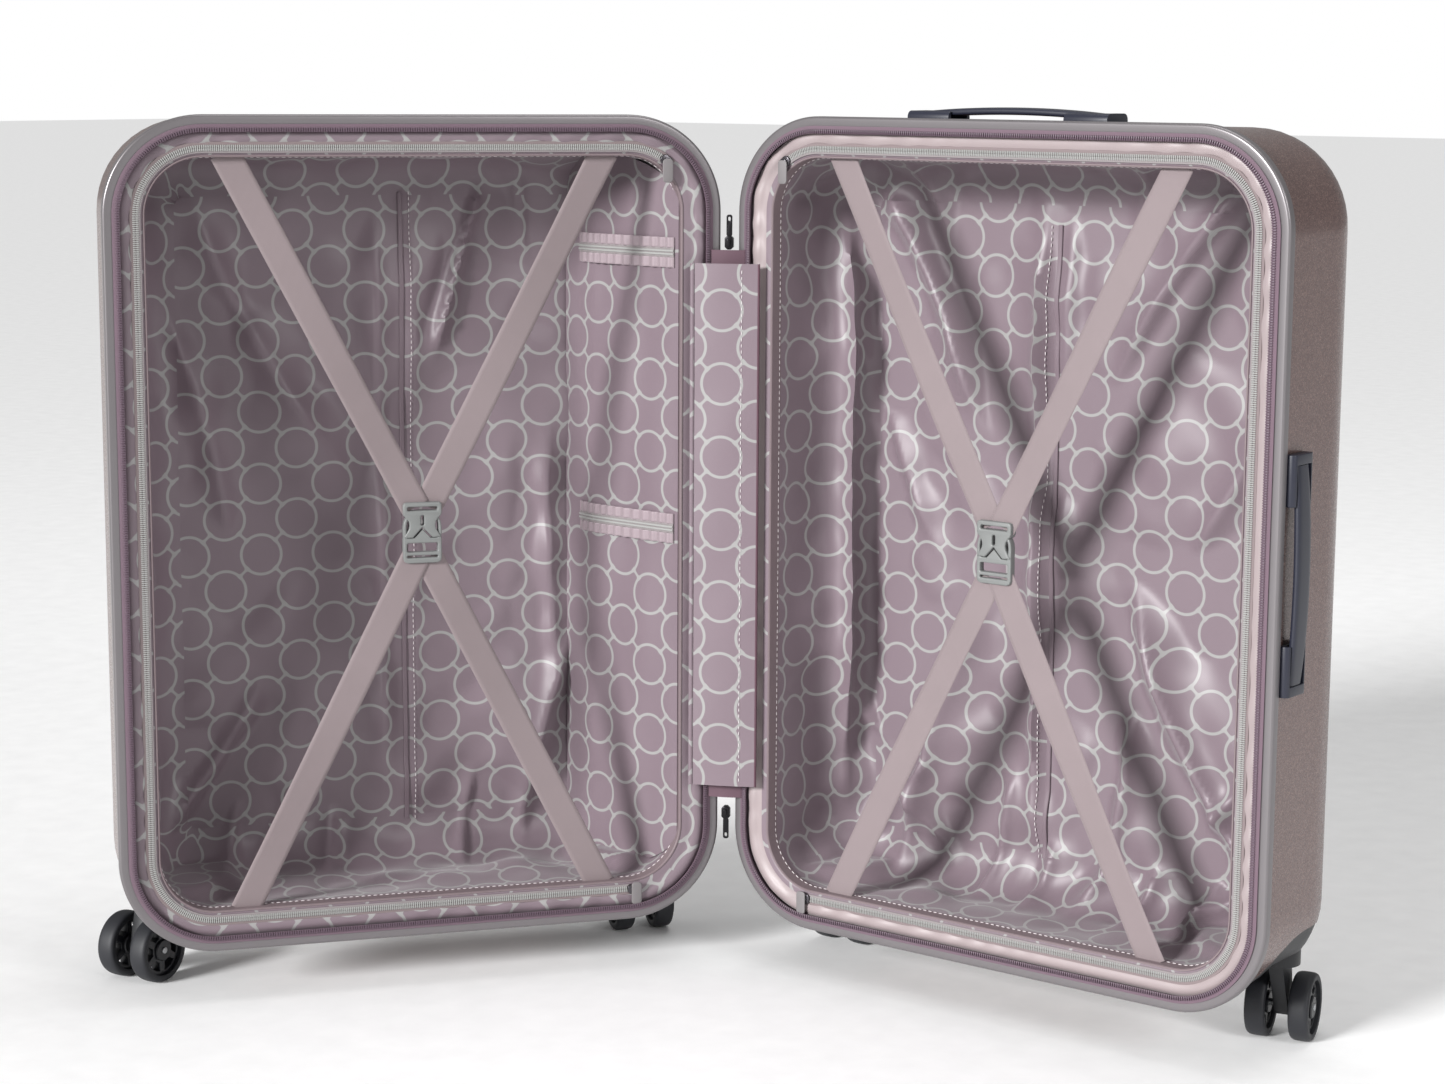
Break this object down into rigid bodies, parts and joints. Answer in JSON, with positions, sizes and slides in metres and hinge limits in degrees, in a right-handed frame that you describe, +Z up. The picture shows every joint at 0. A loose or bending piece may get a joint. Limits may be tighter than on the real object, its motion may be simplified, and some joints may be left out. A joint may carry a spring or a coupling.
{
  "type": "hard shell suitcase on wheels",
  "caption": "Large zipped hard-shell suitcase on swivel casters, open like a book, with lined halves, crossing luggage straps, carry handles and a telescopic trolley.",
  "frame": {"origin": "middle of the footprint box of the case as it stands open, on the floor under the casters", "axes": "+Z up; +X along the width of the back half, from the hinge to its outer side; +Y from the back half's opening towards its back"},
  "size_m": [0.9386, 0.5832, 0.7544],
  "materials": {
    "shell": "semi-gloss metallic fleck",
    "rim": "satin",
    "zip_tape": "woven tape",
    "lining": "satin print",
    "lining_zip": "coil zip",
    "webbing": "woven",
    "buckle": "moulded",
    "handle": "satin",
    "wheel_housing": "moulded",
    "wheel": "matt",
    "steel": "turned",
    "aluminium": "satin anodised",
    "slider_metal": "dark nickel",
    "pull_rubber": "matt"
  },
  "bodies": {
    "back_half": {"back_shell": "shell", "back_rim": "rim", "back_zip_tape": "zip_tape", "back_lining": "lining", "back_lining_zip": "lining_zip", "back_strap_upper": "webbing", "back_strap_lower": "webbing", "back_buckle_socket": "buckle", "hinge_flap": "lining", "back_outer_wheel_housing": "wheel_housing", "back_hinge_wheel_housing": "wheel_housing", "top_handle_mount_hinge": "handle", "top_handle_mount_outer": "handle", "side_handle_mount_upper": "handle", "side_handle_mount_lower": "handle", "trolley_outer_tube_hinge": "aluminium", "trolley_outer_tube_outer": "aluminium", "trolley_cup": "wheel_housing", "trolley_bottom_bracket": "wheel_housing"},
    "front_half": {"front_shell": "shell", "front_rim": "rim", "front_zip_tape": "zip_tape", "front_lining": "lining", "front_lining_zip": "lining_zip", "front_strap_upper": "webbing", "front_strap_lower": "webbing", "front_buckle_socket": "buckle", "front_pocket_panel": "lining", "front_outer_wheel_housing": "wheel_housing", "front_hinge_wheel_housing": "wheel_housing"},
    "back_outer_caster": {"back_outer_fork": "wheel_housing", "back_outer_axle": "steel"},
    "back_outer_wheel_left": {"back_outer_wheel_left": "wheel"},
    "back_outer_wheel_right": {"back_outer_wheel_right": "wheel"},
    "back_hinge_caster": {"back_hinge_fork": "wheel_housing", "back_hinge_axle": "steel"},
    "back_hinge_wheel_left": {"back_hinge_wheel_left": "wheel"},
    "back_hinge_wheel_right": {"back_hinge_wheel_right": "wheel"},
    "front_outer_caster": {"front_outer_fork": "wheel_housing", "front_outer_axle": "steel"},
    "front_outer_wheel_left": {"front_outer_wheel_left": "wheel"},
    "front_outer_wheel_right": {"front_outer_wheel_right": "wheel"},
    "front_hinge_caster": {"front_hinge_fork": "wheel_housing", "front_hinge_axle": "steel"},
    "front_hinge_wheel_left": {"front_hinge_wheel_left": "wheel"},
    "front_hinge_wheel_right": {"front_hinge_wheel_right": "wheel"},
    "top_grip": {"top_handle_grip": "handle"},
    "side_grip": {"side_handle_grip": "handle"},
    "trolley": {"trolley_inner_tube_hinge": "aluminium", "trolley_inner_tube_outer": "aluminium", "trolley_grip": "handle"},
    "trolley_button": {"trolley_button": "wheel_housing"},
    "back_plug": {"back_buckle_plug": "buckle"},
    "front_plug": {"front_buckle_plug": "buckle"},
    "back_pull_top": {"back_lining_pull_top": "pull_rubber"},
    "back_pull_bottom": {"back_lining_pull_bottom": "pull_rubber"},
    "front_pull_top": {"front_lining_pull_top": "pull_rubber"},
    "front_pull_bottom": {"front_lining_pull_bottom": "pull_rubber"},
    "slider_top": {"zip_slider_top": "slider_metal"},
    "slider_bottom": {"zip_slider_bottom": "slider_metal"}
  },
  "joints": [
    {"name": "shell_hinge", "type": "hinge", "parent": "back_half", "child": "front_half", "pos_m": [-0.06606, 0.13305, 0.395], "axis": [0, 0, 1], "range_deg": [-54.5, 125.5], "deforming": ["hinge_flap"]},
    {"name": "back_outer_swivel", "type": "hinge", "parent": "back_half", "child": "back_outer_caster", "pos_m": [0.42094, 0.24005, 0.065], "axis": [0, 0, 1], "continuous": true},
    {"name": "back_outer_spin_left", "type": "hinge", "parent": "back_outer_caster", "child": "back_outer_wheel_left", "pos_m": [0.39888, 0.25413, 0.0285], "axis": [-0.9703, -0.2419, 0], "continuous": true},
    {"name": "back_outer_spin_right", "type": "hinge", "parent": "back_outer_caster", "child": "back_outer_wheel_right", "pos_m": [0.43381, 0.26284, 0.0285], "axis": [-0.9703, -0.2419, 0], "continuous": true},
    {"name": "back_hinge_swivel", "type": "hinge", "parent": "back_half", "child": "back_hinge_caster", "pos_m": [-0.02106, 0.24005, 0.065], "axis": [0, 0, 1], "continuous": true},
    {"name": "back_hinge_spin_left", "type": "hinge", "parent": "back_hinge_caster", "child": "back_hinge_wheel_left", "pos_m": [-0.03906, 0.25905, 0.0285], "axis": [-1, 0, 0], "continuous": true},
    {"name": "back_hinge_spin_right", "type": "hinge", "parent": "back_hinge_caster", "child": "back_hinge_wheel_right", "pos_m": [-0.00306, 0.25905, 0.0285], "axis": [-1, 0, 0], "continuous": true},
    {"name": "front_outer_swivel", "type": "hinge", "parent": "front_half", "child": "front_outer_caster", "pos_m": [-0.43597, -0.20129, 0.065], "axis": [0, 0, 1], "continuous": true},
    {"name": "front_outer_spin_left", "type": "hinge", "parent": "front_outer_caster", "child": "front_outer_wheel_left", "pos_m": [-0.41565, -0.21778, 0.0285], "axis": [-0.9914, -0.1305, 0], "continuous": true},
    {"name": "front_outer_spin_right", "type": "hinge", "parent": "front_outer_caster", "child": "front_outer_wheel_right", "pos_m": [-0.45134, -0.22248, 0.0285], "axis": [-0.9914, -0.1305, 0], "continuous": true},
    {"name": "front_hinge_swivel", "type": "hinge", "parent": "front_half", "child": "front_hinge_caster", "pos_m": [-0.1793, 0.15855, 0.065], "axis": [0, 0, 1], "continuous": true},
    {"name": "front_hinge_spin_left", "type": "hinge", "parent": "front_hinge_caster", "child": "front_hinge_wheel_left", "pos_m": [-0.20522, 0.15493, 0.0285], "axis": [0.5807, 0.8141, 0], "continuous": true},
    {"name": "front_hinge_spin_right", "type": "hinge", "parent": "front_hinge_caster", "child": "front_hinge_wheel_right", "pos_m": [-0.18432, 0.18423, 0.0285], "axis": [0.5807, 0.8141, 0], "continuous": true},
    {"name": "top_handle_pull", "type": "slide", "parent": "back_half", "child": "top_grip", "axis": [0, 0, 1], "range_m": [0, 0.014]},
    {"name": "side_handle_pull", "type": "slide", "parent": "back_half", "child": "side_grip", "axis": [1, 0, 0], "range_m": [0, 0.014]},
    {"name": "trolley_slide", "type": "slide", "parent": "back_half", "child": "trolley", "axis": [0, 0, 1], "range_m": [0, 0.35]},
    {"name": "trolley_button_press", "type": "slide", "parent": "trolley", "child": "trolley_button", "axis": [0, 0, -1], "range_m": [0, 0.004], "stiffness_N_per_m": 500, "springref_m": -0.001},
    {"name": "back_buckle_release", "type": "slide", "parent": "back_half", "child": "back_plug", "axis": [0, 0, -1], "range_m": [0, 0.03], "deforming": ["back_strap_lower"]},
    {"name": "front_buckle_release", "type": "slide", "parent": "front_half", "child": "front_plug", "axis": [0, 0, -1], "range_m": [0, 0.03], "deforming": ["front_strap_lower"]},
    {"name": "back_pull_top_swing", "type": "hinge", "parent": "back_half", "child": "back_pull_top", "pos_m": [-0.01227, 0.13575, 0.70726], "axis": [1, 0, 0], "range_deg": [-150, 0]},
    {"name": "back_pull_bottom_swing", "type": "hinge", "parent": "back_half", "child": "back_pull_bottom", "pos_m": [0.0145, 0.13575, 0.0779], "axis": [1, 0, 0], "range_deg": [-150, 0]},
    {"name": "front_pull_top_swing", "type": "hinge", "parent": "front_half", "child": "front_pull_top", "pos_m": [-0.0995, 0.09082, 0.70726], "axis": [0.5807, 0.8141, 0], "range_deg": [-150, 0]},
    {"name": "front_pull_bottom_swing", "type": "hinge", "parent": "front_half", "child": "front_pull_bottom", "pos_m": [-0.11504, 0.06902, 0.0779], "axis": [0.5807, 0.8141, 0], "range_deg": [-150, 0]},
    {"name": "zip_slider_top_run", "type": "slide", "parent": "back_half", "child": "slider_top", "axis": [0, 0, 1], "range_m": [0, 0.02]},
    {"name": "zip_slider_bottom_run", "type": "slide", "parent": "back_half", "child": "slider_bottom", "axis": [0, 0, -1], "range_m": [0, 0.02]}
  ]
}
